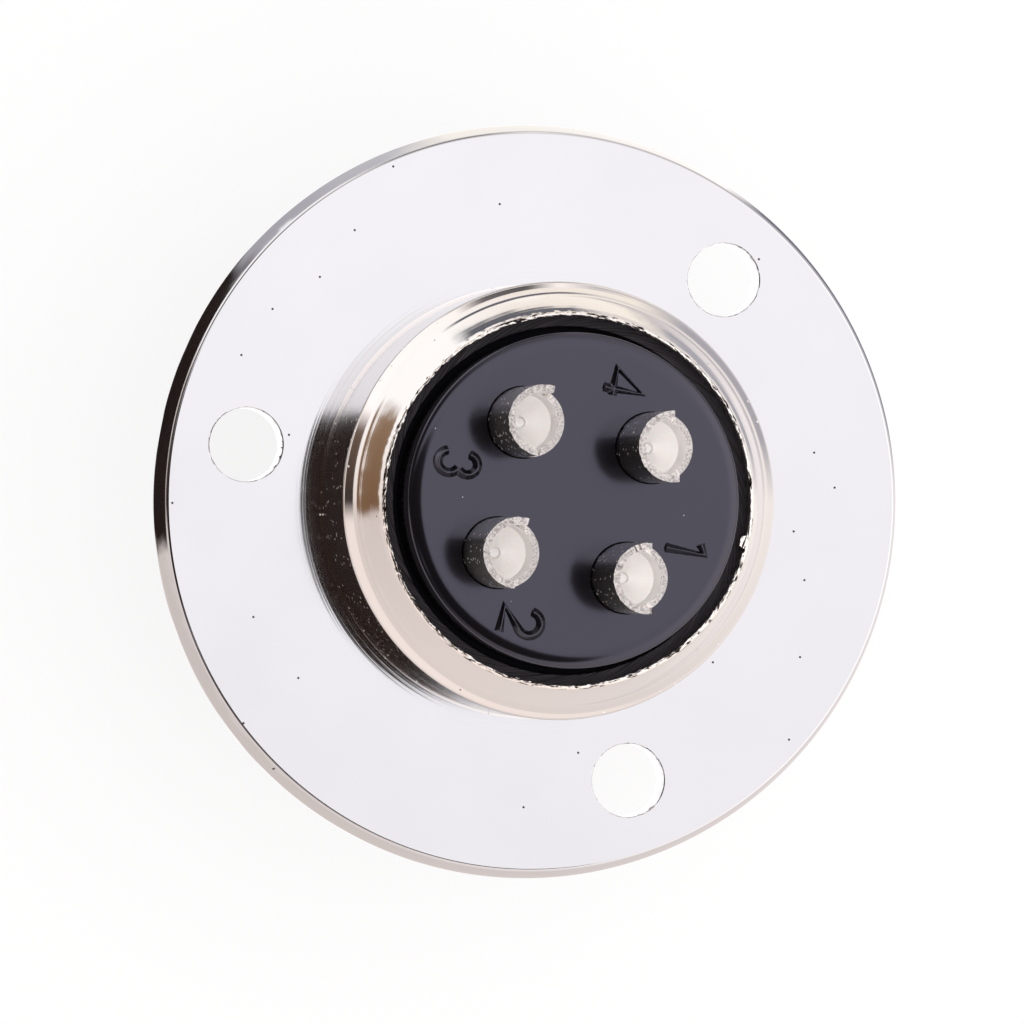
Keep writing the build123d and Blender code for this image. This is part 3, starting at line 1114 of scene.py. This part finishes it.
def white_world(scene, turned_by):
    """White to the camera. In reflections: a lit ceiling, a lamp on the right, and a darker room on the left."""
    scene.world = bpy.data.worlds.new("studio")
    scene.world.use_nodes = True
    tree = scene.world.node_tree
    tree.nodes.clear()
    way = add(tree, "ShaderNodeTexCoord").outputs["Generated"]
    share, height = bearing(tree, way, turned_by)
    walls = tone_ring(tree, share, room_walls)
    beams = tone_ring(tree, share, room_beams)
    low = add(tree, "ShaderNodeMapRange", {0: height, 1: 0.35, 2: 0.6}, interpolation_type="SMOOTHSTEP")
    high = add(tree, "ShaderNodeMapRange", {0: height, 1: 0.84, 2: 0.93}, interpolation_type="SMOOTHSTEP")
    sides = mixed(tree, low.outputs[0], walls, beams)
    light = mixed(tree, high.outputs[0], sides, tone_ring(tree, share, room_ceiling))
    studio = add(tree, "ShaderNodeBackground", {"Color": light, "Strength": 2.0})
    white = add(tree, "ShaderNodeBackground", {"Color": linear("#FFFFFF"), "Strength": 1.0})
    seen = add(tree, "ShaderNodeLightPath").outputs["Is Camera Ray"]
    both = add(tree, "ShaderNodeMixShader", {0: seen, 1: studio.outputs[0], 2: white.outputs[0]})
    add(tree, "ShaderNodeOutputWorld", {"Surface": both.outputs[0]})


def reflected_floor_material(turned_by):
    """The table as the plating mirrors it: rings of tones with ragged edges, and a brown thing on the left."""
    material, tree = new_material("reflected_floor")
    place = add(tree, "ShaderNodeTexCoord").outputs["Object"]
    ragged = add(tree, "ShaderNodeTexNoise", {"Vector": place, "Scale": 1 / wander_grain, "Detail": 4})
    shift = add(tree, "ShaderNodeVectorMath", {0: ragged.outputs["Color"], 1: (0.5, 0.5, 0.5)}, operation="SUBTRACT")
    inputs = {0: shift.outputs[0], 1: (tone_wander, tone_wander, 0)}
    reach = add(tree, "ShaderNodeVectorMath", inputs, operation="MULTIPLY")
    bent = add(tree, "ShaderNodeVectorMath", {0: place, 1: reach.outputs[0]}, operation="ADD")
    share, height = bearing(tree, bent.outputs[0], turned_by)
    radius = around_axis(tree, bent.outputs[0])[0]
    tone = linear("#FFFFFF")
    for start, end, table in table_rings:
        inputs = {0: radius, 1: start * MM, 2: end * MM}
        step = add(tree, "ShaderNodeMapRange", inputs, interpolation_type="SMOOTHSTEP")
        tone = mixed(tree, step.outputs[0], tone, tone_ring(tree, share, table))
    glow = add(tree, "ShaderNodeEmission", {"Color": tone, "Strength": 1.45})
    add(tree, "ShaderNodeOutputMaterial", {"Surface": glow.outputs[0]})
    return material


def dark_material():
    """Matt black cloth round the camera."""
    material, tree = new_material("black_cloth")
    glow = add(tree, "ShaderNodeEmission", {"Color": linear("#2E211B"), "Strength": 1.0})
    add(tree, "ShaderNodeOutputMaterial", {"Surface": glow.outputs[0]})
    return material


def only_reflected(card):
    """Let a card be seen in reflections alone."""
    card.visible_camera = False
    card.visible_diffuse = False
    card.visible_shadow = False
    card.visible_transmission = False


def place_camera(scene, sizes):
    """The picture's camera: leaning to one side of the axis, and turned to the picture's own up."""
    azimuth, tilt = sizes.camera_azimuth, sizes.camera_tilt
    back = Vector((sin(tilt) * cos(azimuth), sin(tilt) * sin(azimuth), cos(tilt)))
    up = Vector((cos(sizes.picture_up), sin(sizes.picture_up), 0))
    up = (up - back * up.dot(back)).normalized()
    right = up.cross(back)
    bpy.ops.object.camera_add()
    camera = bpy.context.object
    camera.name = "picture_camera"
    camera.matrix_world = Matrix((right, up, back)).transposed().to_4x4()
    camera.location = back * sizes.camera_distance - right * sizes.shift_right - up * sizes.shift_up
    camera.data.sensor_width = 36
    camera.data.lens = sizes.focal_length
    camera.data.clip_start = 10 * MM
    camera.data.clip_end = 10
    scene.camera = camera
    return back


class CONNECTOR_OT_stage(bpy.types.Operator):
    """Set up the floor, the soft light, the dark surround of the camera and the camera."""

    bl_idname = "connector.stage"
    bl_label = "Stage"

    def execute(self, context):
        scene = context.scene
        sizes = scene.connector_stage
        deselect()
        bpy.ops.mesh.primitive_plane_add(size=sizes.floor_size, location=(0, 0, mouth))
        floor = bpy.context.object
        floor.name = "floor"
        floor.data.materials.append(floor_material())
        turned_by = pi / 2 - sizes.picture_up
        white_world(scene, turned_by)
        place_camera(scene, sizes)
        deselect()
        bpy.ops.mesh.primitive_plane_add(size=sizes.floor_size, location=(0, 0, mouth + 0.05 * MM))
        table = bpy.context.object
        table.name = "reflected_table"
        table.data.materials.append(reflected_floor_material(turned_by))
        only_reflected(table)
        cloth = dark_material()
        for name, (across, up, wide, high, height) in dark_cards.items():
            bpy.ops.mesh.primitive_circle_add(vertices=48, radius=0.5, fill_type="NGON")
            card = bpy.context.object
            card.name = name
            card.scale = (wide * MM, high * MM, 1)
            card.rotation_euler.z = -turned_by
            card.location = Matrix.Rotation(-turned_by, 3, "Z") @ Vector((across, up, height)) * MM
            card.data.materials.append(cloth)
            only_reflected(card)
        scene.view_settings.view_transform = "Standard"
        return {"FINISHED"}


class CONNECTOR_PT_panel(bpy.types.Panel):
    """Sidebar panel that lists the pieces."""

    bl_label = "Receptacle"
    bl_idname = "CONNECTOR_PT_panel"
    bl_space_type = "VIEW_3D"
    bl_region_type = "UI"
    bl_category = "Receptacle"

    def draw(self, context):
        for step in steps:
            self.layout.operator(step.bl_idname)


groups = {
    "connector_flange": FlangeSizes,
    "connector_shell": ShellSizes,
    "connector_insulator": InsulatorSizes,
    "connector_contact": ContactSizes,
    "connector_stage": StageSizes,
}
steps = (
    CONNECTOR_OT_flange,
    CONNECTOR_OT_shell,
    CONNECTOR_OT_clamp_ring,
    CONNECTOR_OT_insulator,
    CONNECTOR_OT_contacts,
    CONNECTOR_OT_stage,
)


def register():
    """Register the sizes, the operators and the panel."""
    for name, group in groups.items():
        bpy.utils.register_class(group)
        setattr(bpy.types.Scene, name, PointerProperty(type=group))
    for step in (*steps, CONNECTOR_PT_panel):
        bpy.utils.register_class(step)


def unregister():
    """Take everything out again, in reverse."""
    for step in reversed((*steps, CONNECTOR_PT_panel)):
        bpy.utils.unregister_class(step)
    for name, group in reversed(groups.items()):
        delattr(bpy.types.Scene, name)
        bpy.utils.unregister_class(group)


def main():
    """Register the add-on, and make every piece."""
    register()
    bpy.ops.connector.flange()
    bpy.ops.connector.shell()
    bpy.ops.connector.clamp_ring()
    bpy.ops.connector.insulator()
    bpy.ops.connector.contacts()
    bpy.ops.connector.stage()


if __name__ == "__main__":
    main()
